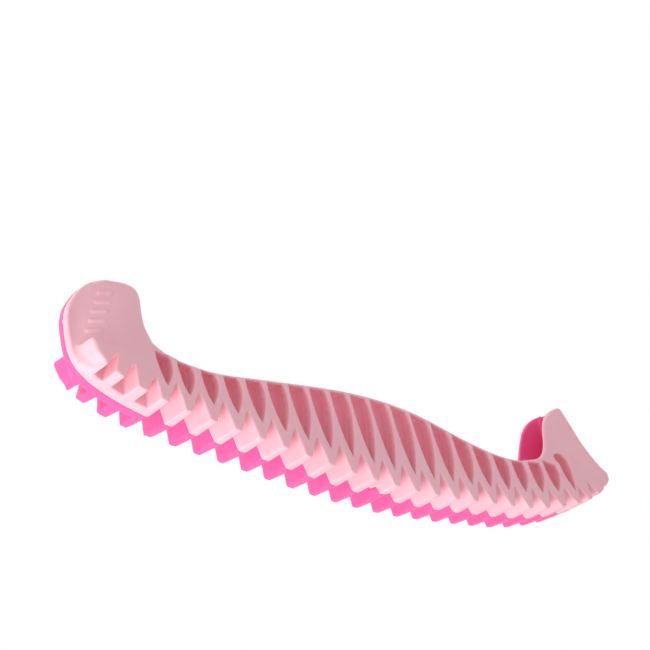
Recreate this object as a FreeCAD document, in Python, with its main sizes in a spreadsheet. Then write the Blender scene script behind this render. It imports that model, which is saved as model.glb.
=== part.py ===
import FreeCAD, Part
import math
import os
import Sketcher

# Skate blade guard: two moulded half shells joined on the mid-plane y = 0, with a toothed sole,
# a toe pocket, a blade channel, and a sprung tail slider inside the heel hood.
# X points to the toe, Z up, the near shell is on -Y. Millimetres.

V = FreeCAD.Vector
os.makedirs("parts", exist_ok=True)
doc = FreeCAD.newDocument("blade_guard")

# ---------------------------------------------------------------- driving dimensions
sheet = doc.addObject("Spreadsheet::Sheet", "sizes")
SIZES = [
    ("half_width", 12.1), ("wall_slope", 0.13), ("overall_height", 61.2),
    ("pitch", 11.0), ("first_crest_x", -149.86), ("gap_half", 3.95),
    ("groove_seam", 7.1), ("groove_side", 11.0), ("groove_seam_toe", 4.2), ("groove_side_toe", 7.6),
    ("web_half", 4.5), ("channel_half", 2.6), ("floor_height", 10.0),
    ("pocket_tip", 7.7), ("pocket_lean", 0.225), ("pocket_width", 4.7), ("pocket_rim", 1.3),
    ("pocket_floor", 5.0),
    ("flange_half", 2.8), ("hood_foot_x", -136.0), ("hood_foot_slope", 0.51), ("hood_head_x", -130.0),
    ("hood_head_slope", 0.27), ("hood_step_z", 27.0),
    ("cavity_half", 4.4), ("cavity_rear_x", -126.5), ("cavity_front_x", -110.0),
    ("cavity_floor_z", 22.0), ("cavity_roof_z", 52.0), ("mouth_half", 3.2), ("mouth_roof_z", 50.0),
    ("toe_half", 4.0), ("toe_half_wide", 5.6), ("toe_floor_z", 25.0),
    ("rod_dia", 3.0), ("bore_dia", 3.16), ("rod_z", 36.0), ("rod_rear_x", -129.0), ("rod_front_x", -112.0),
    ("bore_end_x", -134.6),
    ("slider_half", 4.1), ("slider_rear_x", -116.0), ("slider_front_x", -110.3),
    ("slider_bottom_z", 24.0), ("slider_top_z", 49.0), ("nose_half", 2.2), ("nose_front_x", -107.5),
    ("nose_bottom_z", 26.0), ("nose_top_z", 47.0), ("pad_thickness", 1.5),
    ("washer_dia", 8.2), ("washer_thickness", 0.8), ("washer_hole", 3.3),
    ("coil_dia", 6.0), ("wire_dia", 0.7), ("coil_turns", 4.0),
    ("pin_dia", 3.0), ("pin_length", 10.0), ("pin_height", 5.4),
    ("tongue_length", 3.8), ("tongue_height", 3.0),
]
for row, (name, value) in enumerate(SIZES, start=1):
    sheet.set("A%d" % row, name)
    sheet.set("B%d" % row, str(value))
    sheet.setAlias("B%d" % row, name)
doc.recompute()


def dim(name):
    return float(sheet.get(name))


# Stations of the smooth sole line (the line through all the tooth crests) on the mid-plane: up the
# heel flange, and out to the tip of the toe. Between the two the lowest teeth stand on a short flat.
SOLE_HEEL = [(-137.6, 37.0), (-137.2, 31.5), (-136.2, 25.9), (-133.6, 21.0), (-125.8, 15.6), (-115.5, 11.9),
             (-98.4, 8.3), (-65.3, 5.2), (-32.3, 2.0), (-14.0, 0.58), (1.0, 0.0)]
SOLE_TOE = [(17.2, 0.0), (24.5, 0.33), (33.8, 1.0), (66.8, 4.2), (88.7, 7.2), (101.7, 10.3), (112.8, 13.8),
            (121.2, 17.3), (129.2, 21.8), (134.8, 26.6), (137.4, 30.6), (136.6, 33.4)]
# The rest of the side view: toe front, fin, top rim, hood.
TOE_FRONT = [(136.6, 33.4), (132.4, 36.2), (128.5, 40.5), (122.4, 52.0), (117.9, 61.0)]
FIN_BACK = [(116.2, 61.2), (111.9, 58.7), (108.1, 55.2), (105.2, 50.6), (103.0, 43.7), (100.7, 36.9),
            (97.2, 33.5), (91.0, 31.1)]
RIM = [(91.0, 31.1), (84.0, 29.2), (75.0, 28.4), (60.0, 29.8), (44.0, 33.2), (27.0, 37.2), (9.0, 38.9),
       (-13.0, 38.1), (-38.0, 34.8), (-63.0, 30.9), (-80.0, 28.8), (-92.0, 29.2), (-101.0, 31.0),
       (-105.8, 33.6)]
HOOD_FRONT = [(-105.8, 33.6), (-107.8, 38.5), (-108.6, 45.0), (-108.8, 51.0), (-110.4, 54.6), (-114.5, 56.2)]
HOOD_BACK = [(-121.5, 56.3), (-127.0, 53.8), (-131.2, 50.2), (-134.6, 45.6), (-136.8, 41.2), (-137.6, 37.0)]


def spline(points, y=0.0):
    curve = Part.BSplineCurve()
    curve.interpolate([V(x, y, z) for x, z in points])
    return curve.toShape()


def line(first, last, y=0.0):
    return Part.makeLine(V(first[0], y, first[1]), V(last[0], y, last[1]))


sole_edges = [spline(SOLE_HEEL), line(SOLE_HEEL[-1], SOLE_TOE[0]), spline(SOLE_TOE)]


def sole_at(x):
    """Point and tangent of the sole line at a station x between the heel and the toe."""
    edge = sole_edges[0 if x < SOLE_HEEL[-1][0] else (1 if x < SOLE_TOE[0][0] else 2)]
    low, high = 0.0, edge.Length
    for _ in range(40):
        middle = 0.5 * (low + high)
        point = edge.valueAt(edge.getParameterByLength(middle))
        if point.x < x:
            low = middle
        else:
            high = middle
    parameter = edge.getParameterByLength(0.5 * (low + high))
    return edge.valueAt(parameter), edge.tangentAt(parameter)


def rim_height(x):
    """Height of the top rim above z = 0 at x, straight between the rim stations."""
    stations = sorted(RIM)
    for (xa, za), (xb, zb) in zip(stations, stations[1:]):
        if xa <= x <= xb:
            return za + (zb - za) * (x - xa) / (xb - xa)
    return stations[0][1] if x < stations[0][0] else stations[-1][1]


def frame_point(x, across, up, y):
    """A point that lies `across` along the sole line and `up` above it from station x."""
    base, along = sole_at(x)
    normal = V(-along.z, 0, along.x)
    point = base + along * across + normal * up
    return V(point.x, y, point.z)


# ---------------------------------------------------------------- tooth positions
# Crests of the teeth: 18 at one pitch along the sole, closer together where it turns up at the heel.
HEEL_CRESTS = [-130.2, -123.9, -114.4, -104.9]
MAIN_CRESTS = [dim("first_crest_x") + dim("pitch") * k for k in range(5, 25)]
TOE_CRESTS = [122.0, 129.8]
CRESTS = HEEL_CRESTS + MAIN_CRESTS + TOE_CRESTS
IRREGULAR = len(HEEL_CRESTS) + 9
FIRST_POCKET, LAST_POCKET = 3, 23


def blend(x, middle, toe):
    """A size that stays at `middle` along the sole and runs to `toe` past x = 60."""
    share = min(max((x - 60.0) / 65.0, 0.0), 1.0)
    return middle + (toe - middle) * share


def groove_cutter(index):
    """The V groove between crest `index` and the next, deeper at the side than at the seam."""
    left, right = CRESTS[index], CRESTS[index + 1]
    x = 0.5 * (left + right)
    spacing = right - left
    gap = dim("gap_half") * min(spacing / dim("pitch"), 1.0)
    blind = index < 3
    gap = gap * (0.80 if blind else 1.0)
    inner = -dim("web_half") if blind else 1.0
    outer = -dim("half_width") - 1.5
    depth_in = blend(x, dim("groove_seam"), dim("groove_seam_toe"))
    depth_out = blend(x, dim("groove_side"), dim("groove_side_toe")) * (0.85 if blind else 1.0)
    below = -3.0
    wires = []
    for y, depth in ((inner, depth_in), (outer, depth_out)):
        widened = gap * (1.0 - below / depth)
        corners = [frame_point(x, -widened, below, y), frame_point(x, widened, below, y),
                   frame_point(x, 0.0, depth, y)]
        wires.append(Part.makePolygon(corners + corners[:1]))
    return Part.makeLoft(wires, True, True)


# Outline of a pocket beside its tip: (share of its height, offset towards the toe or the heel).
TOE_SIDE = [(1.0, 0.71), (0.84, 0.98), (0.70, 1.0), (0.50, 0.87), (0.25, 0.53)]
HEEL_SIDE = [(0.25, 0.47), (0.50, 0.77), (0.75, 0.94), (1.0, 1.0)]
HOOKED_POCKET = [(0.0, 0.0), (-2.5, 4.3), (-4.7, 8.8), (-5.2, 12.6), (-6.2, 14.3), (-5.2, 16.2), (-2.0, 16.7),
                 (0.1, 14.0), (0.6, 8.6), (0.5, 4.0)]


def pocket_cutter(index):
    """The blind leaf-shaped pocket above crest `index`, tip down, leaning back to the heel."""
    x = CRESTS[index]
    if index == LAST_POCKET:
        corners = [V(113.4 + along, 0, 20.2 + up) for along, up in HOOKED_POCKET]
        loop = Part.BSplineCurve()
        loop.interpolate(corners[1:])
        edges = [loop.toShape(), Part.makeLine(corners[-1], corners[0]), Part.makeLine(corners[0], corners[1])]
    else:
        tip = frame_point(x, 0.9, blend(x, dim("pocket_tip"), 6.9), 0.0)
        lean = min(4.75, dim("pocket_lean") * (rim_height(tip.x - 3.5) - tip.z))
        heel_height = rim_height(tip.x - lean) - dim("pocket_rim") - tip.z
        toe_height = rim_height(tip.x + 3.5) - dim("pocket_rim") - tip.z
        if index == FIRST_POCKET:
            heel_height, lean = toe_height + 0.8, 0.8 * lean
        width = dim("pocket_width") * min(1.0, 0.62 + 0.016 * toe_height)
        toe_side = [tip + V(width * share, 0, up * toe_height) for up, share in TOE_SIDE]
        heel_side = [tip + V(-lean * share, 0, up * heel_height) for up, share in HEEL_SIDE]
        right = Part.BSplineCurve()
        right.interpolate(toe_side + [tip])
        left = Part.BSplineCurve()
        left.interpolate([tip] + heel_side)
        edges = [Part.makeLine(heel_side[-1], toe_side[0]), right.toShape(), left.toShape()]
    face = Part.Face(Part.Wire(edges))
    cutter = face.extrude(V(0, -20, 0))
    cutter.translate(V(0, -dim("pocket_floor"), 0))
    return cutter


def wedge(points, y_from, y_to):
    """A prism of the closed outline `points` (x, z) between two y stations."""
    outline = [V(x, y_from, z) for x, z in points]
    return Part.Face(Part.makePolygon(outline + outline[:1])).extrude(V(0, y_to - y_from, 0))


# ---------------------------------------------------------------- one half shell, on the -Y side
def outside_wall():
    """All that lies outside the leaning side wall, which draws in by a fixed slope above the sole line.

    The sole line is convex, so its wall is what every one of a fan of leaning planes leaves over.
    """
    slope = dim("wall_slope")
    reach = 320.0
    outside = None
    stations = [(edge, (number + 0.5) / count) for edge, count in zip(sole_edges, (20, 1, 20))
                for number in range(count)]
    for edge, share in stations:
        parameter = edge.getParameterByLength(edge.Length * share)
        base = edge.valueAt(parameter)
        along = edge.tangentAt(parameter)
        inward = V(-along.z, 0, along.x)
        corners = []
        for y, height in ((-60.0, -30.0), (-dim("half_width") - 30.0 * slope, -30.0),
                          (-dim("half_width") + reach * slope, reach), (-60.0, reach)):
            point = base + inward * height - along * reach
            corners.append(V(point.x, y, point.z))
        leaning = Part.Face(Part.makePolygon(corners + corners[:1])).extrude(along * (2 * reach))
        outside = leaning if outside is None else outside.common(leaning)
    return outside


def half_blank():
    """The side view, as deep as half the width, trimmed to the leaning wall and the boat-shaped hood."""
    edges = sole_edges + [spline(TOE_FRONT), line(TOE_FRONT[-1], FIN_BACK[0]), spline(FIN_BACK), spline(RIM),
             spline(HOOD_FRONT), line(HOOD_FRONT[-1], HOOD_BACK[0]), spline(HOOD_BACK)]
    side_view = Part.Face(Part.Wire(Part.__sortEdges__(edges)))
    blank = side_view.extrude(V(0, -dim("half_width"), 0))
    far = -dim("half_width") - 12.0
    plans = []
    for z, rear, slope in ((dim("hood_step_z"), dim("hood_foot_x"), dim("hood_foot_slope")),
                           (dim("hood_step_z") + 33.0, dim("hood_head_x"), dim("hood_head_slope"))):
        edge = -dim("flange_half")
        plan = [V(-146.0, edge, z), V(rear, edge, z), V(rear + 26.0, edge - slope * 26.0, z),
                V(rear + 26.0, far, z), V(-146.0, far, z)]
        plans.append(Part.makePolygon(plan + plan[:1]))
    outside_hood = Part.makeLoft(plans, True, True)
    heel_block = wedge([(-146.0, 15.0), (-129.0, 15.0), (-129.4, 19.5), (-131.6, 22.0), (-133.8, 26.2),
                        (-133.8, 45.0), (-146.0, 45.0)], far, -dim("flange_half"))
    return blank.cut(outside_wall()).cut(outside_hood).cut(heel_block)


def channel():
    """Half of the blade channel, the toe pocket and the hood's cavity, as one cutter."""
    floor = [frame_point(x, 0, dim("floor_height"), 0) for x in range(-96, 97, 16)]
    top = dim("overall_height") + 5.0
    slot = [(-110.5, floor[0].z + 1.2)] + [(p.x, p.z) for p in floor]
    slot += [(112.0, 25.5), (117.0, 34.0), (117.0, top), (-110.5, top)]
    blade = wedge(slot, 1.0, -dim("channel_half"))
    roof = dim("mouth_roof_z")
    hood_keep = wedge([(-125, roof), (-104, roof), (-104, top + 2), (-125, top + 2)], 2.0, -20.0)
    blade = blade.cut(hood_keep)
    toe = [(95.0, dim("toe_floor_z")), (108.0, dim("toe_floor_z")), (118.0, 34.5), (123.8, 40.5),
           (118.6, 50.0), (114.2, 62.5), (95.0, 62.5)]
    narrow, wide = dim("toe_half"), dim("toe_half_wide")
    across = [(1.0, 20.0), (-narrow, 20.0), (-narrow, 36.5), (-wide, 40.5), (-narrow, 61.0), (-narrow, 70.0),
              (1.0, 70.0)]
    section = [V(90.0, y, z) for y, z in across]
    toe_width = Part.Face(Part.makePolygon(section + section[:1])).extrude(V(40.0, 0, 0))
    toe_pocket = wedge(toe, 1.0, -10.0).common(toe_width)
    box = [(dim("cavity_rear_x"), dim("cavity_floor_z")), (dim("cavity_front_x"), dim("cavity_floor_z")),
           (dim("cavity_front_x"), dim("cavity_roof_z")), (-119.0, dim("cavity_roof_z")),
           (dim("cavity_rear_x"), dim("cavity_roof_z") - 8.5)]
    cavity = wedge(box, 1.0, -dim("cavity_half"))
    front = dim("cavity_front_x")
    mouth_box = [(front - 1, dim("cavity_floor_z")), (-100.0, dim("cavity_floor_z")), (-100.0, roof),
                 (front - 1, roof)]
    mouth = wedge(mouth_box, 1.0, -dim("mouth_half"))
    return blade.fuse(toe_pocket).fuse(cavity).fuse(mouth)


PIN_CRESTS = [4, 8, 12, 16, 20]


def pin_centres():
    """Centres of the joining pins: five in tooth crests, one in the heel, one in the toe."""
    centres = [frame_point(CRESTS[i], 0, dim("pin_height"), 0) for i in PIN_CRESTS]
    return [V(-129.6, 0, 25.2)] + centres + [V(127.5, 0, 30.0)]


def pin_hole_half(centre):
    depth = 0.5 * dim("pin_length") + 0.2
    return Part.makeCylinder(0.5 * dim("pin_dia"), depth + 1.0, V(centre.x, 1.0, centre.z), V(0, -1, 0))


def tongue():
    """The locking tongue of the far half: the crest of one tooth, carried across the seam."""
    x = CRESTS[IRREGULAR]
    low = [frame_point(x, -3.3, -1.0, 0), frame_point(x, 3.3, -1.0, 0),
           frame_point(x, 3.3, dim("tongue_height"), 0), frame_point(x, -3.3, dim("tongue_height"), 0)]
    return wedge([(p.x, p.z) for p in low], 0.0, -dim("tongue_length"))


def feature(name, shape):
    item = doc.addObject("Part::Feature", name)
    item.Shape = shape
    return item


blank_shape = half_blank()
near_blank = feature("near_blank", blank_shape)
far_blank = doc.addObject("Part::Mirroring", "far_blank")
far_blank.Source = near_blank
far_blank.Normal = V(0, 1, 0)
grooves = [groove_cutter(i) for i in range(len(CRESTS) - 1)]
pockets = [pocket_cutter(i) for i in range(FIRST_POCKET, LAST_POCKET + 1)]
hollows = [channel()] + [pin_hole_half(c) for c in pin_centres()]

bore = doc.addObject("Part::Cylinder", "rod_bore")
bore.setExpression("Radius", "sizes.bore_dia / 2")
bore.setExpression("Height", "sizes.cavity_rear_x - sizes.bore_end_x + 2")
bore.Placement = FreeCAD.Placement(V(dim("bore_end_x"), 0, dim("rod_z")), FreeCAD.Rotation(V(0, 1, 0), 90))

cutters = grooves + pockets + hollows
near_tools = feature("near_tools", cutters[0].multiFuse(cutters[1:]))
far_tools = doc.addObject("Part::Mirroring", "far_tools")
far_tools.Source = near_tools
far_tools.Normal = V(0, 1, 0)
doc.recompute()


def carve(name, base, tools, bore_object):
    """The blank minus every groove, pocket and hollow, and minus the rod bore."""
    first = doc.addObject("Part::Cut", name + "_carved")
    first.Base = base
    first.Tool = tools
    second = doc.addObject("Part::Cut", name + "_bored")
    second.Base = first
    second.Tool = bore_object
    return second


far_bore = doc.addObject("Part::Mirroring", "far_rod_bore")
far_bore.Source = bore
far_bore.Normal = V(0, 1, 0)
near_body = carve("near", near_blank, near_tools, bore)
far_body = carve("far", far_blank, far_tools, far_bore)
doc.recompute()

tongue_block = feature("tongue_block", tongue())
near_shell = doc.addObject("Part::Cut", "near_shell")
near_shell.Base = near_body
near_shell.Tool = tongue_block
doc.recompute()
whole_tooth = near_body.Shape.common(tongue_block.Shape)
tongue_piece = feature("tongue_piece", whole_tooth)
far_shell = doc.addObject("Part::Fuse", "far_shell")
far_shell.Base = far_body
far_shell.Tool = tongue_piece
doc.recompute()


# ---------------------------------------------------------------- sketched pieces
def origin_plane(body, role):
    return [item for item in body.Origin.OriginFeatures if item.Role == role][0]


def new_sketch(body, name, role="YZ_Plane"):
    sketch = body.newObject("Sketcher::SketchObject", name)
    sketch.AttachmentSupport = (origin_plane(body, role), [""])
    sketch.MapMode = "FlatFace"
    return sketch


def bound_rectangle(sketch, width, height, centre_height=None):
    """A rectangle that is centred left to right; width, height and centre height are expressions."""
    corners = [V(-5, -5, 0), V(5, -5, 0), V(5, 5, 0), V(-5, 5, 0)]
    for i in range(4):
        sketch.addGeometry(Part.LineSegment(corners[i], corners[(i + 1) % 4]), False)
    for i in range(4):
        sketch.addConstraint(Sketcher.Constraint("Coincident", i, 2, (i + 1) % 4, 1))
    for i, kind in enumerate(("Horizontal", "Vertical", "Horizontal", "Vertical")):
        sketch.addConstraint(Sketcher.Constraint(kind, i))
    wide = sketch.addConstraint(Sketcher.Constraint("DistanceX", 0, 1, 0, 2, 10.0))
    sketch.setExpression("Constraints[%d]" % wide, width)
    tall = sketch.addConstraint(Sketcher.Constraint("DistanceY", 1, 1, 1, 2, 10.0))
    sketch.setExpression("Constraints[%d]" % tall, height)
    left = sketch.addConstraint(Sketcher.Constraint("DistanceX", 0, 1, -1, 1, 5.0))
    sketch.setExpression("Constraints[%d]" % left, "(%s) / 2" % width)
    if centre_height is None:
        low = sketch.addConstraint(Sketcher.Constraint("DistanceY", 0, 1, -1, 1, 5.0))
        sketch.setExpression("Constraints[%d]" % low, "(%s) / 2" % height)
    else:
        low = sketch.addConstraint(Sketcher.Constraint("DistanceY", -1, 1, 0, 1, 5.0))
        sketch.setExpression("Constraints[%d]" % low, "%s - (%s) / 2" % (centre_height, height))


def bound_circle(sketch, diameter, centre_height=None):
    ring = sketch.addGeometry(Part.Circle(V(0, 1, 0), V(0, 0, 1), 2.0), False)
    sketch.addConstraint(Sketcher.Constraint("PointOnObject", ring, 3, -2))
    if centre_height is None:
        sketch.addConstraint(Sketcher.Constraint("PointOnObject", ring, 3, -1))
    else:
        rise = sketch.addConstraint(Sketcher.Constraint("DistanceY", -1, 1, ring, 3, 1.0))
        sketch.setExpression("Constraints[%d]" % rise, centre_height)
    size = sketch.addConstraint(Sketcher.Constraint("Diameter", ring, 4.0))
    sketch.setExpression("Constraints[%d]" % size, diameter)


def pad(body, sketch, name, length, reverse=False):
    item = body.newObject("PartDesign::Pad", name)
    item.Profile = sketch
    item.setExpression("Length", length)
    item.Reversed = reverse
    return item


# Each sketched piece is drawn on the YZ plane and padded along X from its own rear face.
slider = doc.addObject("PartDesign::Body", "tail_slider")
block = new_sketch(slider, "slider_block")
bound_rectangle(block, "sizes.slider_half * 2", "sizes.slider_top_z - sizes.slider_bottom_z")
pad(slider, block, "slider_pad_block", "sizes.slider_front_x - sizes.slider_rear_x")
nose = new_sketch(slider, "slider_nose")
bound_rectangle(nose, "sizes.nose_half * 2", "sizes.nose_top_z - sizes.nose_bottom_z")
pad(slider, nose, "slider_pad_nose", "sizes.nose_front_x - sizes.slider_rear_x - sizes.pad_thickness")
doc.recompute()
socket = new_sketch(slider, "slider_socket")
bound_circle(socket, "sizes.rod_dia")
socket_cut = slider.newObject("PartDesign::Pocket", "slider_rod_socket")
socket_cut.Profile = socket
socket_cut.setExpression("Length", "sizes.rod_front_x - sizes.slider_rear_x")
socket_cut.Reversed = True
doc.recompute()
slider.Placement = FreeCAD.Placement(
    V(dim("slider_rear_x"), 0, 0.5 * (dim("slider_top_z") + dim("slider_bottom_z"))), FreeCAD.Rotation())

bumper = doc.addObject("PartDesign::Body", "tail_bumper")
bumper_face = new_sketch(bumper, "bumper_face")
bound_rectangle(bumper_face, "sizes.nose_half * 2", "sizes.nose_top_z - sizes.nose_bottom_z")
pad(bumper, bumper_face, "bumper_slab", "sizes.pad_thickness")
bumper.Placement = FreeCAD.Placement(
    V(dim("nose_front_x") - dim("pad_thickness"), 0, 0.5 * (dim("nose_top_z") + dim("nose_bottom_z"))),
    FreeCAD.Rotation())

rod = doc.addObject("PartDesign::Body", "guide_rod")
rod_ring = new_sketch(rod, "rod_ring")
bound_circle(rod_ring, "sizes.rod_dia")
pad(rod, rod_ring, "rod_length", "sizes.rod_front_x - sizes.rod_rear_x")
doc.recompute()
rod_rims = ["Edge%d" % number for number, edge in enumerate(rod.Shape.Edges, start=1)
            if isinstance(edge.Curve, Part.Circle)]
rod_length = rod.Tip
rod_ends = rod.newObject("PartDesign::Chamfer", "rod_ends")
rod_ends.Base = (rod_length, rod_rims)
rod_ends.Size = 0.4
rod.Placement = FreeCAD.Placement(V(dim("rod_rear_x"), 0, dim("rod_z")), FreeCAD.Rotation())

washer = doc.addObject("PartDesign::Body", "spring_seat_washer")
washer_ring = new_sketch(washer, "washer_ring")
bound_circle(washer_ring, "sizes.washer_dia")
bound_circle(washer_ring, "sizes.washer_hole")
pad(washer, washer_ring, "washer_disc", "sizes.washer_thickness")
washer.Placement = FreeCAD.Placement(V(dim("cavity_rear_x"), 0, dim("rod_z")), FreeCAD.Rotation())
doc.recompute()

# ---------------------------------------------------------------- coil spring around the rod
spring_start = dim("cavity_rear_x") + dim("washer_thickness")
spring_length = dim("slider_rear_x") - spring_start
wire = dim("wire_dia")
rise = spring_length - wire - 0.1
coil_radius = 0.5 * dim("coil_dia")
coil_pitch = rise / dim("coil_turns")
slope = coil_pitch / (2 * math.pi * coil_radius)
coil_path = Part.BSplineCurve()
STEPS = 24
coil_path.interpolate([V(coil_radius * math.cos(2 * math.pi * i / STEPS),
                         coil_radius * math.sin(2 * math.pi * i / STEPS), coil_pitch * i / STEPS)
                       for i in range(int(dim("coil_turns") * STEPS) + 1)])
CORNERS = 10
ring = []
for i in range(CORNERS):
    turn = 2 * math.pi * (i + 0.5) / CORNERS
    out, up = 0.5 * wire * math.cos(turn), 0.5 * wire * math.sin(turn)
    ring.append(V(coil_radius + out, -slope * up, up))
coil_section = Part.Wire(Part.makePolygon(ring + ring[:1]))
tail_spring = feature("tail_spring", Part.Wire(coil_path.toShape()).makePipeShell([coil_section], True, True))
tail_spring.Placement = FreeCAD.Placement(V(spring_start + 0.5 * wire + 0.05, 0, dim("rod_z")),
                                          FreeCAD.Rotation(V(0, 1, 0), 90))

# ---------------------------------------------------------------- joining pins, one group of solids
pins = []
for number, centre in enumerate(pin_centres()):
    pin = doc.addObject("Part::Cylinder", "pin_%d" % number)
    pin.setExpression("Radius", "sizes.pin_dia / 2")
    pin.setExpression("Height", "sizes.pin_length")
    pin.Placement = FreeCAD.Placement(V(centre.x, 0.5 * dim("pin_length"), centre.z),
                                      FreeCAD.Rotation(V(1, 0, 0), 90))
    pins.append(pin)
pin_group = doc.addObject("Part::Compound", "joining_pins")
pin_group.Links = pins
doc.recompute()

# ---------------------------------------------------------------- checks and export
NODES = [(near_shell, "near_shell"), (far_shell, "far_shell"), (slider, "tail_slider"),
         (bumper, "tail_bumper"), (rod, "guide_rod"), (washer, "spring_seat_washer"),
         (tail_spring, "tail_spring"), (pin_group, "joining_pins")]
for item in doc.Objects:
    if "Invalid" in item.State or "Error" in item.State:
        raise RuntimeError("failed object: %s %s" % (item.Name, item.State))
for item, label in NODES:
    item.Label = label
    shape = item.Shape
    if shape.isNull() or not shape.isValid():
        raise RuntimeError("bad shape: " + label)
    box = shape.BoundBox
    print(label, "solids", len(shape.Solids), "volume", round(shape.Volume, 1), "x", round(box.XMin, 2),
          round(box.XMax, 2), "y", round(box.YMin, 2), round(box.YMax, 2), "z", round(box.ZMin, 2),
          round(box.ZMax, 2))
    shape.exportStep("parts/%s.step" % label)
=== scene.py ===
"""Looks of the skate blade guard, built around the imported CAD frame.

Lengths inside the shape code are millimetres in the part's frame: X to the toe, Z up, the
mid-plane between the two half shells at y = 0. Meshes are scaled to metres when they are made.
"""
import bmesh
import bpy
import math
import numpy as np
from mathutils import Matrix, Vector


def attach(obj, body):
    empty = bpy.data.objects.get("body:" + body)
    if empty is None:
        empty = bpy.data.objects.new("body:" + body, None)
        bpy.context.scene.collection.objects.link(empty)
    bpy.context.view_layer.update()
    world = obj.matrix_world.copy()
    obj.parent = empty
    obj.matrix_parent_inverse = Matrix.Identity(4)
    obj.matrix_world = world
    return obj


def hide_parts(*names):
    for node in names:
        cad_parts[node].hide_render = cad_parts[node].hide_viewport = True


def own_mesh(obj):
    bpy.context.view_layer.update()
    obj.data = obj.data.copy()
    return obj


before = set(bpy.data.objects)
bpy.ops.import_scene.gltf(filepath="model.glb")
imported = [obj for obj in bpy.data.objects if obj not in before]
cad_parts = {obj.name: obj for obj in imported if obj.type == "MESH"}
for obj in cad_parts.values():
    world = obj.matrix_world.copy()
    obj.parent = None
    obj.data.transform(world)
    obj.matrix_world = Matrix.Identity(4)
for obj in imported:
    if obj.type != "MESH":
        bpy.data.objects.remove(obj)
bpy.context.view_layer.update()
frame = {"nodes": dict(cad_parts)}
MM = 0.001
CELL = 0.42

# ------------------------------------------------------------------ side view of the guard
SOLE_HEEL = [(-137.6, 37.0), (-137.2, 31.5), (-136.2, 25.9), (-133.6, 21.0), (-125.8, 15.6), (-115.5, 11.9),
             (-98.4, 8.3), (-65.3, 5.2), (-32.3, 2.0), (-14.0, 0.58), (1.0, 0.0)]
SOLE_TOE = [(17.2, 0.0), (24.5, 0.33), (33.8, 1.0), (66.8, 4.2), (88.7, 7.2), (101.7, 10.3), (112.8, 13.8),
            (121.2, 17.3), (129.2, 21.8), (134.8, 26.6), (137.4, 30.6), (136.6, 33.4)]
TOE_FRONT = [(136.6, 33.4), (132.4, 36.2), (128.5, 40.5), (122.4, 52.0), (117.9, 61.0)]
FIN_BACK = [(116.2, 61.2), (111.9, 58.7), (108.1, 55.2), (105.2, 50.6), (103.0, 43.7), (100.7, 36.9),
            (97.2, 33.5), (91.0, 31.1)]
RIM = [(91.0, 31.1), (84.0, 29.2), (75.0, 28.4), (60.0, 29.8), (44.0, 33.2), (27.0, 37.2), (9.0, 38.9),
       (-13.0, 38.1), (-38.0, 34.8), (-63.0, 30.9), (-80.0, 28.8), (-92.0, 29.2), (-101.0, 31.0),
       (-105.8, 33.6)]
HOOD_FRONT = [(-105.8, 33.6), (-107.8, 38.5), (-108.6, 45.0), (-108.8, 51.0), (-110.4, 54.6), (-114.5, 56.2)]
HOOD_BACK = [(-121.5, 56.3), (-127.0, 53.8), (-131.2, 50.2), (-134.6, 45.6), (-136.8, 41.2), (-137.6, 37.0)]

# Crests of the teeth along X, the heel block first.
HEEL_CRESTS = [-130.2, -123.9, -114.4, -104.9]
PITCH = 11.0
CRESTS = HEEL_CRESTS + [-94.86 + PITCH * k for k in range(20)] + [122.0, 129.8]
LOCKING_TOOTH = 13
FIRST_POCKET, LAST_POCKET = 3, 23
HALF_WIDTH = 12.1
WALL_SLOPE = 0.13
SHELL_FACES = 180000
BLIND_GROOVES = 3
BLIND_SCALE = 0.86
WEB_HALF = 4.4
CHANNEL_HALF = 2.6
ROD_Z = 36.0
BLOCK_FACE = [(-150, 12), (-129.2, 12.0), (-129.6, 19.4), (-132.0, 22.0), (-134.1, 26.2),
              (-134.4, 28), (-134.4, 48), (-150, 48)]


def natural_spline(stations, spacing):
    """Points of a smooth curve through the stations, about `spacing` apart."""
    points = np.array(stations, float)
    length = np.r_[0, np.cumsum(np.hypot(*np.diff(points, axis=0).T))]
    step = np.diff(length)
    count = len(points)
    system, right = np.eye(count), np.zeros((count, 2))
    for i in range(1, count - 1):
        system[i, i - 1:i + 2] = step[i - 1], 2 * (step[i - 1] + step[i]), step[i]
        right[i] = 6 * ((points[i + 1] - points[i]) / step[i] - (points[i] - points[i - 1]) / step[i - 1])
    bend = np.linalg.solve(system, right)
    at = np.linspace(0, length[-1], max(int(length[-1] / spacing), 2) + 1)
    k = np.clip(np.searchsorted(length, at, side="right") - 1, 0, count - 2)
    left, ahead, span = (at - length[k])[:, None], (length[k + 1] - at)[:, None], step[k][:, None]
    return (bend[k] * ahead ** 3 + bend[k + 1] * left ** 3) / (6 * span) \
        + (points[k] / span - bend[k] * span / 6) * ahead + (points[k + 1] / span - bend[k + 1] * span / 6) * left


def sole_points(spacing):
    flat = [(x, 0.0) for x in np.arange(SOLE_HEEL[-1][0] + spacing, SOLE_TOE[0][0], spacing)]
    return np.vstack([natural_spline(SOLE_HEEL, spacing), flat, natural_spline(SOLE_TOE, spacing)])


def outline_points(spacing):
    parts = [sole_points(spacing)] + [natural_spline(s, spacing) for s in
                                      (TOE_FRONT, FIN_BACK, RIM, HOOD_FRONT, HOOD_BACK)]
    joined = np.vstack(parts)
    keep = np.hypot(*(joined - np.roll(joined, 1, axis=0)).T) > 1e-6
    return joined[keep]


FINE_SOLE = sole_points(0.25)


def sole_frame(x):
    """Point, tangent and inward normal of the sole line at station x."""
    i = int(np.argmin(np.abs(FINE_SOLE[:, 0] - x)))
    low, high = max(i - 3, 0), min(i + 3, len(FINE_SOLE) - 1)
    along = FINE_SOLE[high] - FINE_SOLE[low]
    along = along / np.hypot(*along)
    return FINE_SOLE[i], along, np.array([-along[1], along[0]])


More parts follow.
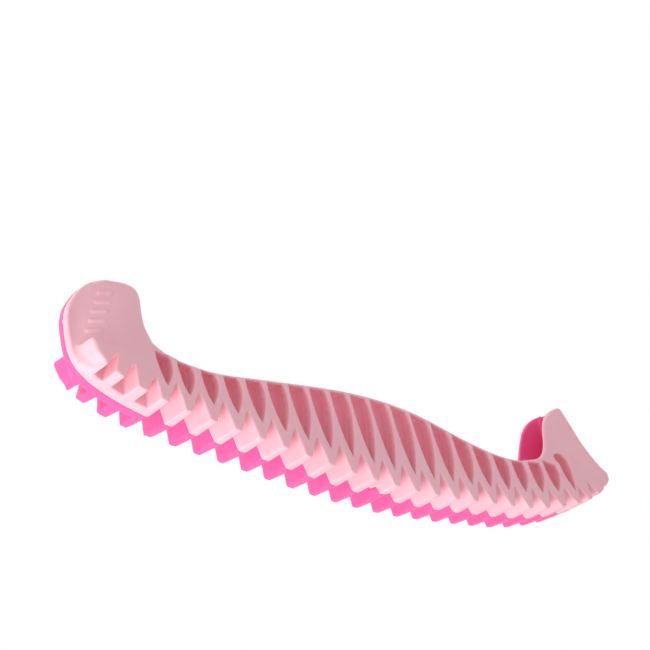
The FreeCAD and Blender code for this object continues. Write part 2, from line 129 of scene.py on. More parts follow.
def rim_height(x):
    stations = np.array(sorted(RIM))
    return float(np.interp(x, stations[:, 0], stations[:, 1]))


def toe_blend(x, middle, toe):
    """A size that holds along the sole and runs to `toe` past x = 60."""
    return middle + (toe - middle) * min(max((x - 60.0) / 65.0, 0.0), 1.0)


# ------------------------------------------------------------------ distance field tools
def smax(a, b, r):
    """Greater of two distances, with a rounded edge about r across."""
    blend = np.maximum(r - np.abs(a - b), 0.0) / r
    return np.maximum(a, b) + blend * blend * r * 0.25


def smin(a, b, r):
    return -smax(-a, -b, r)


def smoothstep(low, high, value):
    share = np.clip((value - low) / (high - low), 0.0, 1.0)
    return share * share * (3 - 2 * share)


def segment_distance(px, pz, a, b):
    ab = b - a
    share = np.clip(((px - a[0]) * ab[0] + (pz - a[1]) * ab[1]) / max(float(ab @ ab), 1e-12), 0, 1)
    return np.hypot(px - a[0] - share * ab[0], pz - a[1] - share * ab[1])


def inside_polygon(xs, zs, polygon):
    """True where a grid point lies inside the closed polygon, by crossings along each row."""
    inside = np.zeros((len(xs), len(zs)), bool)
    following = np.roll(polygon, -1, axis=0)
    for j, z in enumerate(zs):
        crosses = (polygon[:, 1] > z) != (following[:, 1] > z)
        if not crosses.any():
            continue
        a, b = polygon[crosses], following[crosses]
        at = a[:, 0] + (z - a[:, 1]) * (b[:, 0] - a[:, 0]) / (b[:, 1] - a[:, 1])
        inside[:, j] = (np.sum(at[None, :] > xs[:, None], axis=1) % 2) == 1
    return inside


def polygon_distance(xs, zs, polygon, reach):
    """Signed distance to a closed polygon on a grid, exact within `reach` of it, negative inside."""
    distance = np.full((len(xs), len(zs)), reach, np.float32)
    following = np.roll(polygon, -1, axis=0)
    for a, b in zip(polygon, following):
        i0, i1 = np.searchsorted(xs, [min(a[0], b[0]) - reach, max(a[0], b[0]) + reach])
        j0, j1 = np.searchsorted(zs, [min(a[1], b[1]) - reach, max(a[1], b[1]) + reach])
        if i1 <= i0 or j1 <= j0:
            continue
        window = distance[i0:i1, j0:j1]
        np.minimum(window, segment_distance(xs[i0:i1, None], zs[None, j0:j1], a, b), out=window)
    return np.where(inside_polygon(xs, zs, polygon), -distance, distance).astype(np.float32)


# ------------------------------------------------------------------ the grid and its flat maps
def axis_points(low, high):
    return (low + CELL * np.arange(int((high - low) / CELL) + 2)).astype(np.float32)


XS, YS, ZS = axis_points(-139.3, 139.0), axis_points(-13.27, 4.6), axis_points(-1.31, 62.4)
Y = YS[None, :, None]
DEPTH = np.abs(Y)
profile = polygon_distance(XS, ZS, outline_points(0.8), 8.0)

coarse = sole_points(1.5)
height = np.full((len(XS), len(ZS)), 1e6, np.float32)
for start, end in zip(coarse, coarse[1:]):
    if np.hypot(*(end - start)) > 1e-6:
        i0, i1 = np.searchsorted(XS, [min(start[0], end[0]) - 62, max(start[0], end[0]) + 62])
        part = height[i0:i1]
        np.minimum(part, segment_distance(XS[i0:i1, None], ZS[None, :], start, end), out=part)
height = np.where(profile > 4.0, 0.0, height)


def lay(flat):
    """A map over X and Z, as a field that is the same at every Y."""
    return flat[:, None, :]


def window(x0, x1, z0=-1e9, z1=1e9):
    i0, i1 = np.searchsorted(XS, [x0, x1])
    j0, j1 = np.searchsorted(ZS, [z0, z1])
    return slice(i0, i1), slice(j0, j1)


# ------------------------------------------------------------------ outer form
def stern_distance(x, z):
    """Distance to the stern face of the hood, which draws in to the mid-plane towards the heel."""
    foot = -135.2 + (z - 27.0) * (5.2 / 33.0)
    slope = np.clip(0.575 - 0.0112 * (z - 27.0), 0.16, 0.6)
    return (DEPTH - 2.9 - slope * (x - foot)) / np.sqrt(1 + slope * slope)


def outer_form():
    """Field of the half shell with no grooves, pockets or hollows."""
    across = DEPTH / HALF_WIDTH
    heel_share = smoothstep(-60, -125, XS)[:, None, None]
    crown = (0.45 + 0.55 * heel_share) * across ** 1.6
    near_sole = 1 - smoothstep(2.0, 9.0, lay(height))
    side_view = lay(profile) + crown * near_sole
    half = HALF_WIDTH - WALL_SLOPE * lay(height)
    wall = (DEPTH - half) / math.hypot(1, WALL_SLOPE)
    rounding = 0.55 + 1.15 * smoothstep(10, 20, lay(height)) + 1.4 * smoothstep(-100, -112, XS)[:, None, None] \
        * smoothstep(34, 50, ZS)[None, None, :]
    body = smax(side_view, wall, rounding)

    # Heel hood: a boat-shaped stern that draws in to the raised flange on the mid-plane.
    i1 = int(np.searchsorted(XS, -96.0))
    x, z = XS[:i1, None, None], ZS[None, None, :]
    low = body[:i1]
    stern = stern_distance(x, z)
    upper = smax(low, stern, 2.6)
    flange = smax(low, DEPTH - 2.75, 0.9)
    tread = smax(low, z - 27.6 + 0.10 * (x + 133.0), 1.4)
    block_face = polygon_distance(XS[:i1], ZS, np.array(BLOCK_FACE, float), 8.0)
    tread = smax(tread, -lay(block_face), 1.8)
    hood = smin(smin(upper, flange, 0.9), tread, 0.9)
    body[:i1] = np.where(x < -100.0, hood, smin(low, hood, 0.5))
    return body


def grooves():
    """Every gap of the tread: its place along the sole, half width, depth at the seam and at the side."""
    for index in range(len(CRESTS) - 1):
        left, right = CRESTS[index], CRESTS[index + 1]
        middle = 0.5 * (left + right)
        scale = min((right - left) / PITCH, 1.0)
        blind = index < BLIND_GROOVES
        share = BLIND_SCALE if blind else 1.0
        yield middle, scale * share, toe_blend(middle, 7.1, 4.0), toe_blend(middle, 12.3, 8.6) * share, blind
    # The small step above the last tooth at the toe.
    yield 133.5, 0.34, 1.0, 2.4, False


def cut_grooves(body):
    for middle, scale, seam_depth, side_depth, blind in grooves():
        base, along, inward = sole_frame(middle)
        si, sj = window(middle - 13, middle + 13, base[1] - 12, base[1] + 20)
        px, pz = XS[si, None] - base[0], ZS[None, sj] - base[1]
        across = lay((px * along[0] + pz * along[1]).astype(np.float32))
        up = lay((px * inward[0] + pz * inward[1]).astype(np.float32))
        share = DEPTH / HALF_WIDTH
        gap = (3.9 + 0.42 * share) * scale
        depth = seam_depth + (side_depth - seam_depth) * share
        side = np.sqrt(across * across + 0.12)
        groove = (side - gap * (1 - up / depth)) / np.sqrt(1 + (gap / depth) ** 2)
        if blind:
            groove = smax(groove, WEB_HALF - DEPTH, 0.4)
        piece = body[si, :, sj]
        body[si, :, sj] = smax(piece, -groove, 0.5)


# Outline of a pocket beside its tip: (share of its height, offset towards the toe or the heel).
TOE_SIDE = [(1.0, 3.5), (0.93, 4.35), (0.84, 4.85), (0.70, 4.95), (0.56, 4.6), (0.43, 3.95), (0.31, 3.1),
            (0.20, 2.15), (0.10, 1.1)]
HEEL_SIDE = [(0.12, -0.25), (0.30, -0.54), (0.50, -0.77), (0.75, -0.94), (1.0, -1.0)]
HOOKED_POCKET = [(0.0, 0.0), (-2.5, 4.0), (-4.9, 8.6), (-6.2, 12.4), (-8.2, 14.6), (-5.8, 16.8), (-2.2, 16.9),
                 (0.3, 14.2), (0.9, 8.6), (0.7, 4.0), (0.0, 0.0)]


def pocket_outline(index):
    """Leaf shape of one side pocket: tip down over its tooth, leaning back to the heel at the top."""
    x = CRESTS[index]
    base, along, inward = sole_frame(x)
    tip = base + along * 0.9 + inward * toe_blend(x, 7.7, 6.9)
    if index == LAST_POCKET:
        tip = np.array([113.4, 20.2])
        return natural_spline([tip + np.array(step) for step in HOOKED_POCKET], 0.5)
    lean = min(4.75, 0.235 * (rim_height(tip[0] - 3.5) - tip[1]))
    lean += toe_blend(x, 0.0, 1.2)
    heel_height = rim_height(tip[0] - lean) - 1.1 - tip[1]
    toe_height = rim_height(tip[0] + 3.5) - 1.15 - tip[1]
    if index == FIRST_POCKET:
        heel_height, lean = toe_height + 0.8, 0.8 * lean
    if index == LAST_POCKET - 1:
        heel_height, toe_height, lean = heel_height + 1.9, toe_height + 0.9, lean + 0.9
    full = min(0.94, 0.60 + 0.016 * toe_height)
    toe_side = [tip + np.array([full * width, share * toe_height]) for share, width in TOE_SIDE]
    heel_side = [tip + np.array([lean * width, share * heel_height]) for share, width in HEEL_SIDE]
    right = natural_spline(toe_side + [tip], 0.5)
    left = natural_spline([tip] + heel_side, 0.5)
    return np.vstack([right[:-1], left])


def cut_pockets(body, shade_places):
    for index in range(FIRST_POCKET, LAST_POCKET + 1):
        outline = pocket_outline(index)
        si, sj = window(outline[:, 0].min() - 3, outline[:, 0].max() + 3,
                        outline[:, 1].min() - 3, outline[:, 1].max() + 3)
        xs, zs = XS[si], ZS[sj]
        flat = polygon_distance(xs, zs, outline, 6.0)
        half = HALF_WIDTH - WALL_SLOPE * lay(height[si, sj])
        keep = (4.5 + 1.0 * smoothstep(88.0, 95.0, xs))[:, None, None]
        floor = smax(half - 4.4, keep + 0.0 * half, 1.5)
        pocket = smax(lay(flat) + 0.0 * DEPTH, floor - DEPTH, 0.9)
        piece = body[si, :, sj]
        body[si, :, sj] = smax(piece, -pocket, 0.55)
        # Keeps the pocket's outline, where painted shade deepens the colour of its floor.
        shade_places.append((si, sj, flat))


def add_grip_ribs(body):
    """Plain short raised bars on the stern face, for grip when the guard is pulled off."""
    si, sj = window(-137, -110)
    x, z = XS[si][:, None, None], ZS[None, None, sj]
    skin = stern_distance(x, z)
    piece = body[si, :, sj]
    for number in range(5):
        centre_z = 33.6 + 4.0 * number
        centre_x = -128.6 + 1.35 * number
        bar = np.hypot(np.maximum(np.abs(x - centre_x) - 2.1, 0), z - centre_z - 0.10 * (x - centre_x)) - 0.62
        rib = smax(bar, np.abs(skin) - 0.42, 0.4)
        piece = smin(piece, rib, 0.5)
    body[si, :, sj] = piece


# ------------------------------------------------------------------ hollows
def prism(corners, half, radius=0.8):
    flat = polygon_distance(XS, ZS, np.array(corners, float), 8.0)
    return smax(lay(flat) + 0.0 * DEPTH, DEPTH - half, radius)


def cut_hollows(body):
    floor = []
    for x in range(-96, 97, 16):
        base, along, inward = sole_frame(x)
        floor.append(tuple(base + inward * 10.0))
    top = 68.0
    slot = [(-110.5, floor[0][1] + 1.2)] + floor + [(112.0, 25.5), (117.0, 34.0), (117.0, top), (-110.5, top)]
    blade = prism(slot, CHANNEL_HALF, 0.5)
    roof = lay(polygon_distance(XS, ZS, np.array([(-125, 50), (-104, 50), (-104, 72), (-125, 72)], float), 8.0))
    blade = smax(blade, -roof, 0.4)
    fin_wall = HALF_WIDTH - WALL_SLOPE * np.maximum(ZS - 10.0, 0.0) - 1.5
    raised = lay(ZS[None, :] + 7.0 * (1 - smoothstep(100.5, 105.5, XS[:, None])))
    toe_half = 4.1 + lay(np.clip(fin_wall - 4.1, 0.0, 2.2)[None, :]) * smoothstep(36.0, 41.0, raised)
    toe = prism([(95, 25), (108, 25), (118, 34.5), (123.8, 40.5), (118.6, 50), (113.6, 64), (95, 64)],
                toe_half.astype(np.float32), 1.2)
    # The cavity's lower rear corner is cut off, clear of the first groove of the tread.
    cavity = prism([(-126.5, 30), (-120, 22), (-110, 22), (-110, 52), (-119, 52), (-126.5, 43.5)], WEB_HALF, 0.6)
    mouth = prism([(-111, 22), (-100, 22), (-100, 50), (-111, 50)], 3.2, 0.6)
    for hollow in (blade, toe, cavity, mouth):
        np.copyto(body, smax(body, -hollow, 0.7))
    si, sj = window(-137, -124, 30, 42)
    x, z = XS[si][:, None, None], ZS[None, None, sj]
    bore = np.maximum(np.hypot(Y, z - ROD_Z) - 1.6, -134.7 - x)
    body[si, :, sj] = np.maximum(body[si, :, sj], -bore)
    for px, pz in pin_places():
        si, sj = window(px - 4, px + 4, pz - 4, pz + 4)
        x, z = XS[si][:, None, None], ZS[None, None, sj]
        hole = np.maximum(np.hypot(x - px, z - pz) - 1.58, DEPTH - 5.3)
        body[si, :, sj] = np.maximum(body[si, :, sj], -hole)


def pin_places():
    places = [(-129.6, 25.2)]
    for index in (4, 8, 12, 16, 20):
        base, along, inward = sole_frame(CRESTS[index])
        places.append(tuple(base + inward * 5.4))
    return places + [(127.5, 30.0)]


def locking_tongue(side, grow=0.0):
    """Where the crest of one tooth of the far half reaches over the seam, to the given side of it."""
    base, along, inward = sole_frame(CRESTS[LOCKING_TOOTH])
    px, pz = XS[:, None] - base[0], ZS[None, :] - base[1]
    across = lay((px * along[0] + pz * along[1]).astype(np.float32))
    up = lay((px * inward[0] + pz * inward[1]).astype(np.float32))
    section = smax(np.abs(across) - 3.9, up - 3.2, 0.3)
    reach = 3.8 + 0.30 * across
    return smax(section, side * Y - reach, 0.3) - grow


# ------------------------------------------------------------------ field to mesh
def surface_net(field):
    """Closed quad mesh of the zero surface of a field on the grid: one vertex per crossed cell."""
    inside = field < 0
    corners = [(i, j, k) for i in (0, 1) for j in (0, 1) for k in (0, 1)]
    nx, ny, nz = (n - 1 for n in field.shape)

    def at(array, corner):
        i, j, k = corner
        return array[i:nx + i, j:ny + j, k:nz + k]

    count = sum(at(inside, c).astype(np.int8) for c in corners)
    ci, cj, ck = np.nonzero((count > 0) & (count < 8))
    number = np.full((nx, ny, nz), -1, np.int32)
    number[ci, cj, ck] = np.arange(len(ci))
    total, crossed = np.zeros((len(ci), 3)), np.zeros(len(ci))
    for a in corners:
        for axis in range(3):
            if a[axis]:
                continue
            b = list(a)
            b[axis] = 1
            fa = field[ci + a[0], cj + a[1], ck + a[2]]
            fb = field[ci + b[0], cj + b[1], ck + b[2]]
            hit = (fa < 0) != (fb < 0)
            share = np.where(hit, fa / np.where(hit, fa - fb, 1), 0)
            point = np.tile(np.array(a, float), (len(ci), 1))
            point[:, axis] = share
            total += point * hit[:, None]
            crossed += hit
    place = total / crossed[:, None] + np.stack([ci, cj, ck], 1)
    vertices = place * CELL + np.array([XS[0], YS[0], ZS[0]])
    quads = []
    for axis in range(3):
        u, v = [d for d in range(3) if d != axis]
        low = [slice(1, n) for n in (nx, ny, nz)]
        high = list(low)
        low[axis], high[axis] = slice(0, (nx, ny, nz)[axis]), slice(1, (nx, ny, nz)[axis] + 1)
        first, second = inside[tuple(low)], inside[tuple(high)]
        for outward in (True, False):
            hits = np.nonzero((first & ~second) if outward else (~first & second))
            grid = np.stack(hits, 1)
            grid[:, u] += 1
            grid[:, v] += 1
            ring = []
            for du, dv in ((0, 0), (1, 0), (1, 1), (0, 1)):
                cell = grid.copy()
                cell[:, u] -= du
                cell[:, v] -= dv
                ring.append(number[cell[:, 0], cell[:, 1], cell[:, 2]])
            ring = np.stack(ring, 1)
            flip = outward == (axis == 1)
            quads.append(ring[:, ::-1] if flip else ring)
    return vertices, np.vstack(quads)


def make_mesh(name, vertices, faces):
    mesh = bpy.data.meshes.new(name)
    mesh.vertices.add(len(vertices))
    mesh.vertices.foreach_set("co", (vertices * MM).astype(np.float32).ravel())
    sides = faces.shape[1]
    mesh.loops.add(faces.size)
    mesh.loops.foreach_set("vertex_index", faces.astype(np.int32).ravel())
    mesh.polygons.add(len(faces))
    mesh.polygons.foreach_set("loop_start", np.arange(0, faces.size, sides, dtype=np.int32))
    mesh.polygons.foreach_set("loop_total", np.full(len(faces), sides, np.int32))
    mesh.update(calc_edges=True)
    mesh.validate()
    piece = bpy.data.objects.new(name, mesh)
    bpy.context.scene.collection.objects.link(piece)
    return piece


def thin_out(piece, ratio):
    """Applies a collapse decimation, so that flat areas lose most of their faces."""
    modifier = piece.modifiers.new("thin", "DECIMATE")
    modifier.ratio = ratio
    evaluated = piece.evaluated_get(bpy.context.evaluated_depsgraph_get())
    mesh = bpy.data.meshes.new_from_object(evaluated)
    piece.modifiers.clear()
    piece.data = mesh


def shade_smooth(piece):
    piece.data.polygons.foreach_set("use_smooth", np.ones(len(piece.data.polygons), bool))


# ------------------------------------------------------------------ materials
SATIN = 0.42


def new_material(name):
    material = bpy.data.materials.new(name)
    material.use_nodes = True
    nodes, links = material.node_tree.nodes, material.node_tree.links
    shader = nodes["Principled BSDF"]
    return material, nodes, links, shader


def moulded_plastic(name, colour, shade_colour, pale):
    """Satin moulded plastic: faint cloudiness in the colour, fine skin texture, and a painted shade, a deeper and
    more saturated tone, in the side pockets.
    """
    material, nodes, links, shader = new_material(name)
    place = nodes.new("ShaderNodeTexCoord")
    cloud = nodes.new("ShaderNodeTexNoise")
    cloud.inputs["Scale"].default_value = 38.0
    cloud.inputs["Detail"].default_value = 3.0
    links.new(place.outputs["Object"], cloud.inputs["Vector"])
    ramp = nodes.new("ShaderNodeValToRGB")
    ramp.color_ramp.elements[0].position, ramp.color_ramp.elements[1].position = 0.3, 0.72
    ramp.color_ramp.elements[0].color = (*colour, 1)
    ramp.color_ramp.elements[1].color = (*pale, 1)
    links.new(cloud.outputs["Fac"], ramp.inputs["Fac"])
    # Painted shade: a vertex attribute mixes in the deeper tone where the side pockets lie in shade.
    painted_shade = nodes.new("ShaderNodeAttribute")
    painted_shade.attribute_name = "painted_shade"
    mix = nodes.new("ShaderNodeMix")
    mix.data_type = "RGBA"
    links.new(painted_shade.outputs["Fac"], mix.inputs["Factor"])
    links.new(ramp.outputs["Color"], mix.inputs["A"])
    mix.inputs["B"].default_value = (*shade_colour, 1)
    links.new(mix.outputs["Result"], shader.inputs["Base Color"])
    skin = nodes.new("ShaderNodeTexNoise")
    skin.inputs["Scale"].default_value = 2600.0
    skin.inputs["Detail"].default_value = 4.0
    links.new(place.outputs["Object"], skin.inputs["Vector"])
    bump = nodes.new("ShaderNodeBump")
    bump.inputs["Strength"].default_value = 0.10
    bump.inputs["Distance"].default_value = 0.0002
    links.new(skin.outputs["Fac"], bump.inputs["Height"])
    links.new(bump.outputs["Normal"], shader.inputs["Normal"])
    spread = nodes.new("ShaderNodeMapRange")
    spread.inputs["To Min"].default_value = SATIN - 0.05
    spread.inputs["To Max"].default_value = SATIN + 0.07
    links.new(cloud.outputs["Fac"], spread.inputs["Value"])
    links.new(spread.outputs["Result"], shader.inputs["Roughness"])
    shader.inputs["Subsurface Weight"].default_value = 0.25
    shader.inputs["Subsurface Radius"].default_value = (1.0, 0.35, 0.4)
    shader.inputs["Subsurface Scale"].default_value = 0.0025
    shader.inputs["Specular IOR Level"].default_value = 0.45
    return material


def steel(name, rough, along):
    """Drawn or turned steel: fine lines that run round the piece or along it."""
    material, nodes, links, shader = new_material(name)
    place = nodes.new("ShaderNodeTexCoord")
    stretch = nodes.new("ShaderNodeMapping")
    stretch.inputs["Scale"].default_value = along
    links.new(place.outputs["Object"], stretch.inputs["Vector"])
    lines = nodes.new("ShaderNodeTexNoise")
    lines.inputs["Scale"].default_value = 900.0
    lines.inputs["Detail"].default_value = 3.0
    links.new(stretch.outputs["Vector"], lines.inputs["Vector"])
    ramp = nodes.new("ShaderNodeValToRGB")
    ramp.color_ramp.elements[0].color = (0.46, 0.47, 0.49, 1)
    ramp.color_ramp.elements[1].color = (0.72, 0.73, 0.75, 1)
    links.new(lines.outputs["Fac"], ramp.inputs["Fac"])
    links.new(ramp.outputs["Color"], shader.inputs["Base Color"])
    spread = nodes.new("ShaderNodeMapRange")
    spread.inputs["To Min"].default_value = rough - 0.08
    spread.inputs["To Max"].default_value = rough + 0.10
    links.new(lines.outputs["Fac"], spread.inputs["Value"])
    links.new(spread.outputs["Result"], shader.inputs["Roughness"])
    bump = nodes.new("ShaderNodeBump")
    bump.inputs["Strength"].default_value = 0.08
    bump.inputs["Distance"].default_value = 0.0001
    links.new(lines.outputs["Fac"], bump.inputs["Height"])
    links.new(bump.outputs["Normal"], shader.inputs["Normal"])
    shader.inputs["Metallic"].default_value = 1.0
    return material


# Each plastic's third colour is the painted shade of its side pockets. Only the half shells carry the attribute
# that shows it.
LIGHT_PINK = moulded_plastic("light_pink_plastic", (0.89, 0.47, 0.54), (0.90, 0.265, 0.365), (0.91, 0.505, 0.575))
HOT_PINK = moulded_plastic("hot_pink_plastic", (0.98, 0.105, 0.345), (0.85, 0.04, 0.19), (1.0, 0.12, 0.37))
PIN_PINK = moulded_plastic("pin_plastic", (0.88, 0.48, 0.55), (0.7, 0.2, 0.3), (0.9, 0.52, 0.58))
SLIDER_PINK = moulded_plastic("slider_plastic", (0.86, 0.22, 0.38), (0.7, 0.1, 0.2), (0.9, 0.26, 0.42))
STEEL = steel("steel", 0.30, (0.15, 1, 1))
SPRING_STEEL = steel("spring_steel", 0.24, (1, 1, 1))


# ------------------------------------------------------------------ the two half shells
# Outlines of the side pockets, kept for the painted shade in their floors.
shaded_pockets = []
form = outer_form()
cut_grooves(form)
cut_pockets(form, shaded_pockets)
add_grip_ribs(form)
cut_hollows(form)

SEAM_GAP = 0.03
half = smax(form, Y + SEAM_GAP, 0.3)
near_field = smax(half, -locking_tongue(-1, 0.04), 0.25)
tongue = smax(form, np.maximum(locking_tongue(1), -2.0 - Y), 0.25)
far_field = np.minimum(half, tongue)

# Map of the side pockets, for the painted shade that deepens their floors.
pocket_shade_map = np.full((len(XS), len(ZS)), 9.0, np.float32)
for si, sj, flat in shaded_pockets:
    pocket_shade_map[si, sj] = np.minimum(pocket_shade_map[si, sj], flat)


def shade_weight(vertices):
    """How strongly the painted shade darkens a point inside a side pocket, from 0 outside and in the channel to 1
    in its floor.
    """
    i = np.clip(np.rint((vertices[:, 0] - XS[0]) / CELL).astype(int), 0, len(XS) - 1)
    k = np.clip(np.rint((vertices[:, 2] - ZS[0]) / CELL).astype(int), 0, len(ZS) - 1)
    base_half = HALF_WIDTH - WALL_SLOPE * height[i, k]
    sunk = smoothstep(0.4, 2.6, base_half - np.abs(vertices[:, 1]))
    beyond_web = smoothstep(4.15, 4.4, np.abs(vertices[:, 1]))
    return sunk * beyond_web * smoothstep(0.6, -0.8, pocket_shade_map[i, k])


def build_shell(name, field, mirrored, material, node):
    vertices, faces = surface_net(field)
    if mirrored:
        vertices = vertices * np.array([1, -1, 1])
        faces = faces[:, ::-1]
    piece = make_mesh(name, vertices, faces)
    thin_out(piece, min(1.0, SHELL_FACES / (2 * len(faces))))
    mesh = piece.data
    co = np.zeros(len(mesh.vertices) * 3, np.float32)
    mesh.vertices.foreach_get("co", co)
    # Painted shade in the side pockets, stored as a vertex attribute for the plastic's colour.
    shade = mesh.attributes.new("painted_shade", "FLOAT", "POINT")
    shade.data.foreach_set("value", shade_weight(co.reshape(-1, 3) / MM).astype(np.float32))
    shade_smooth(piece)
    mesh.materials.append(material)
    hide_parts(node)
    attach(piece, "shells")


build_shell("near_half_shell", near_field, False, LIGHT_PINK, "near_shell")
build_shell("far_half_shell", far_field, True, HOT_PINK, "far_shell")


# ------------------------------------------------------------------ the sprung tail slider
def rounded_block(name, low, high, radius, steps=4):
    """A block with rounded edges, its corners given in millimetres."""
    mesh = bpy.data.meshes.new(name)
    piece = bpy.data.objects.new(name, mesh)
    bpy.context.scene.collection.objects.link(piece)
    build = bmesh.new()
    bmesh.ops.create_cube(build, size=1.0)
    centre = (Vector(low) + Vector(high)) * 0.5 * MM
    size = (Vector(high) - Vector(low)) * MM
    for vertex in build.verts:
        vertex.co = Vector((vertex.co[i] * size[i] + centre[i] for i in range(3)))
    bmesh.ops.bevel(build, geom=build.edges[:], offset=radius * MM, segments=steps, affect="EDGES", profile=0.5)
    build.to_mesh(mesh)
    build.free()
    shade_smooth(piece)
    return piece


def coil_spring(name, x0, x1, radius, wire, turns, dead=1.0):
    """A compression spring round the rod's line: its end turns lie close."""
    count, around = int(turns * 48), 14
    at = np.linspace(0, 1, count + 1)
    dead_share = dead / turns
    close = wire * 1.02 * dead
    middle = (x1 - x0) - wire - 2 * close
    rise = np.interp(at, [0, dead_share, 1 - dead_share, 1], [0, close, close + middle, (x1 - x0) - wire])
    angle = 2 * math.pi * turns * at
    centre = np.stack([x0 + wire / 2 + rise, radius * np.cos(angle), ROD_Z + radius * np.sin(angle)], 1)
    outward = np.stack([0 * angle, np.cos(angle), np.sin(angle)], 1)
    forward = np.gradient(centre, axis=0)
    forward /= np.linalg.norm(forward, axis=1)[:, None]
    side = np.cross(forward, outward)
    ring = 2 * math.pi * np.arange(around) / around
    rows = centre[:, None] + 0.5 * wire * (np.cos(ring)[None, :, None] * outward[:, None]
                                          + np.sin(ring)[None, :, None] * side[:, None])
    vertices = np.vstack([rows.reshape(-1, 3), centre[:1], centre[-1:]])
    index = np.arange((count + 1) * around).reshape(count + 1, around)
    after = np.roll(index, -1, axis=1)
    walls = np.stack([index[:-1], after[:-1], after[1:], index[1:]], -1).reshape(-1, 4)
    mesh = bpy.data.meshes.new(name)
    start, end = len(vertices) - 2, len(vertices) - 1
    caps = [(start, int(after[0, i]), int(index[0, i])) for i in range(around)]
    caps += [(end, int(index[-1, i]), int(after[-1, i])) for i in range(around)]
    mesh.from_pydata((vertices * MM).tolist(), [], walls.tolist() + caps)
    mesh.validate()
    piece = bpy.data.objects.new(name, mesh)
    bpy.context.scene.collection.objects.link(piece)
    shade_smooth(piece)
    return piece


nodes = frame["nodes"]


def repaint(node, material):
    mesh_slots = nodes[node].material_slots
    if not mesh_slots:
        nodes[node].data.materials.append(material)
    for item in mesh_slots:
        item.material = material


slider = rounded_block("slider_shoulder", (-116.0, -4.1, 24.0), (-110.3, 4.1, 48.0), 0.7)
slider.data.materials.append(SLIDER_PINK)
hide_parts("tail_slider")
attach(slider, "slider")
nose = rounded_block("slider_nose", (-112.0, -2.2, 26.0), (-109.0, 2.2, 46.5), 0.5)
nose.data.materials.append(SLIDER_PINK)
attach(nose, "slider")
spring = coil_spring("coil_spring", -125.7, -116.0, 3.0, 0.7, 6.0)
spring.data.materials.append(SPRING_STEEL)
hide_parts("tail_spring")
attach(spring, "shells")
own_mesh(spring)
for node, material in (("guide_rod", STEEL), ("spring_seat_washer", STEEL), ("joining_pins", PIN_PINK)):
    repaint(node, material)


def rubber(name):
    material, made, links, shader = new_material(name)
    place = made.new("ShaderNodeTexCoord")
    grain = made.new("ShaderNodeTexNoise")
    grain.inputs["Scale"].default_value = 1800.0
    links.new(place.outputs["Object"], grain.inputs["Vector"])
    ramp = made.new("ShaderNodeValToRGB")
    ramp.color_ramp.elements[0].color = (0.02, 0.02, 0.022, 1)
    ramp.color_ramp.elements[1].color = (0.05, 0.05, 0.055, 1)
    links.new(grain.outputs["Fac"], ramp.inputs["Fac"])
    links.new(ramp.outputs["Color"], shader.inputs["Base Color"])
    bump = made.new("ShaderNodeBump")
    bump.inputs["Strength"].default_value = 0.3
    bump.inputs["Distance"].default_value = 0.0001
    links.new(grain.outputs["Fac"], bump.inputs["Height"])
    links.new(bump.outputs["Normal"], shader.inputs["Normal"])
    shader.inputs["Roughness"].default_value = 0.75
    return material


pad = rounded_block("slider_bumper", (-109.0, -2.2, 26.0), (-107.5, 2.2, 46.5), 0.45)
pad.data.materials.append(rubber("bumper_rubber"))
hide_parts("tail_bumper")
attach(pad, "slider")


# ------------------------------------------------------------------ camera, light, floor
EYE = Vector((-0.4621, -0.4422, -0.2544))
RIGHT = Vector((0.7348, -0.6699, -0.1065))
UPWARD = Vector((-0.2398, -0.4034, 0.8830))
FORWARD = Vector((0.6345, 0.6233, 0.4570))
FRAME_PIXELS = 650.0
FOCAL_PIXELS = 1819.6
SENSOR = 36.0

camera_data = bpy.data.cameras.new("view_camera")
camera_data.sensor_width = SENSOR
camera_data.lens = FOCAL_PIXELS / FRAME_PIXELS * SENSOR
camera_data.clip_start = 0.01
camera = bpy.data.objects.new("view_camera", camera_data)
right = RIGHT.normalized()
back = -(FORWARD - right * FORWARD.dot(right)).normalized()
up = back.cross(right)
camera.matrix_world = Matrix.Translation(EYE) @ Matrix((right, up, back)).transposed().to_4x4()
bpy.context.scene.collection.objects.link(camera)
bpy.context.scene.camera = camera


def softbox(name, place, target, size, power):
    lamp = bpy.data.lights.new(name, "AREA")
    lamp.shape = "RECTANGLE"
    lamp.size, lamp.size_y = size
    lamp.energy = power
    item = bpy.data.objects.new(name, lamp)
    item.location = place
    item.rotation_euler = (Vector(target) - Vector(place)).to_track_quat("-Z", "Y").to_euler()
    bpy.context.scene.collection.objects.link(item)


softbox("key_light", (-0.62, 0.05, -0.66), (0.0, 0.0, 0.02), (0.6, 0.6), 8.2)
softbox("heel_fill", (-0.60, -0.12, 0.20), (-0.12, 0.0, 0.04), (0.3, 0.3), 0.5)
softbox("rim_light", (-0.5, 0.5, 0.8), (0.0, 0.0, 0.02), (0.7, 0.7), 2.0)

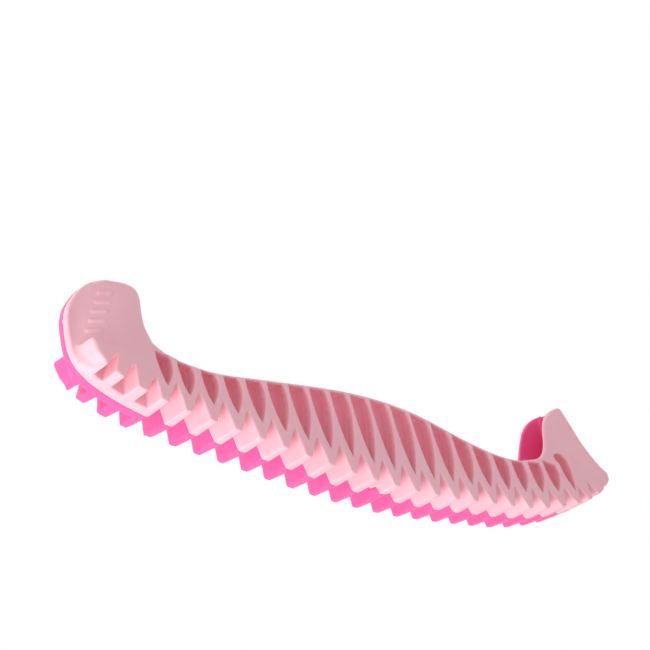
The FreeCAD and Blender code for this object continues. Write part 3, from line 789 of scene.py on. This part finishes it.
# The room is bright behind the object and dimmer on the near side.
world = bpy.data.worlds.new("pale_room")
world.use_nodes = True
room = world.node_tree
room_place = room.nodes.new("ShaderNodeTexCoord")
toward = room.nodes.new("ShaderNodeVectorMath")
toward.operation = "DOT_PRODUCT"
toward.inputs[1].default_value = FORWARD
room.links.new(room_place.outputs["Generated"], toward.inputs[0])
room_ramp = room.nodes.new("ShaderNodeMapRange")
room_ramp.interpolation_type = "SMOOTHSTEP"
room_ramp.inputs["From Min"].default_value = -0.2
room_ramp.inputs["From Max"].default_value = 0.8
room_ramp.inputs["To Min"].default_value = 0.58
room_ramp.inputs["To Max"].default_value = 1.0
room.links.new(toward.outputs["Value"], room_ramp.inputs["Value"])
room.links.new(room_ramp.outputs["Result"], room.nodes["Background"].inputs["Strength"])
room.nodes["Background"].inputs["Color"].default_value = (1.0, 1.0, 1.0, 1)
bpy.context.scene.world = world

floor_mesh = bpy.data.meshes.new("studio_floor")
SPAN, FLOOR_Z = 40.0, -0.75
floor_mesh.from_pydata([(-SPAN, -SPAN, FLOOR_Z), (SPAN, -SPAN, FLOOR_Z), (SPAN, SPAN, FLOOR_Z),
                        (-SPAN, SPAN, FLOOR_Z)], [], [(0, 1, 2, 3)])
floor_piece = bpy.data.objects.new("studio_floor", floor_mesh)
bpy.context.scene.collection.objects.link(floor_piece)
floor_material, floor_nodes, floor_links, floor_shader = new_material("pale_floor")
floor_place = floor_nodes.new("ShaderNodeTexCoord")
floor_noise = floor_nodes.new("ShaderNodeTexNoise")
floor_noise.inputs["Scale"].default_value = 3.0
floor_ramp = floor_nodes.new("ShaderNodeValToRGB")
floor_ramp.color_ramp.elements[0].color = (0.86, 0.86, 0.86, 1)
floor_ramp.color_ramp.elements[1].color = (0.90, 0.90, 0.90, 1)
floor_links.new(floor_place.outputs["Object"], floor_noise.inputs["Vector"])
floor_links.new(floor_noise.outputs["Fac"], floor_ramp.inputs["Fac"])
floor_links.new(floor_ramp.outputs["Color"], floor_shader.inputs["Base Color"])
floor_shader.inputs["Roughness"].default_value = 0.8
floor_mesh.materials.append(floor_material)

bpy.context.scene.view_settings.view_transform = "Standard"
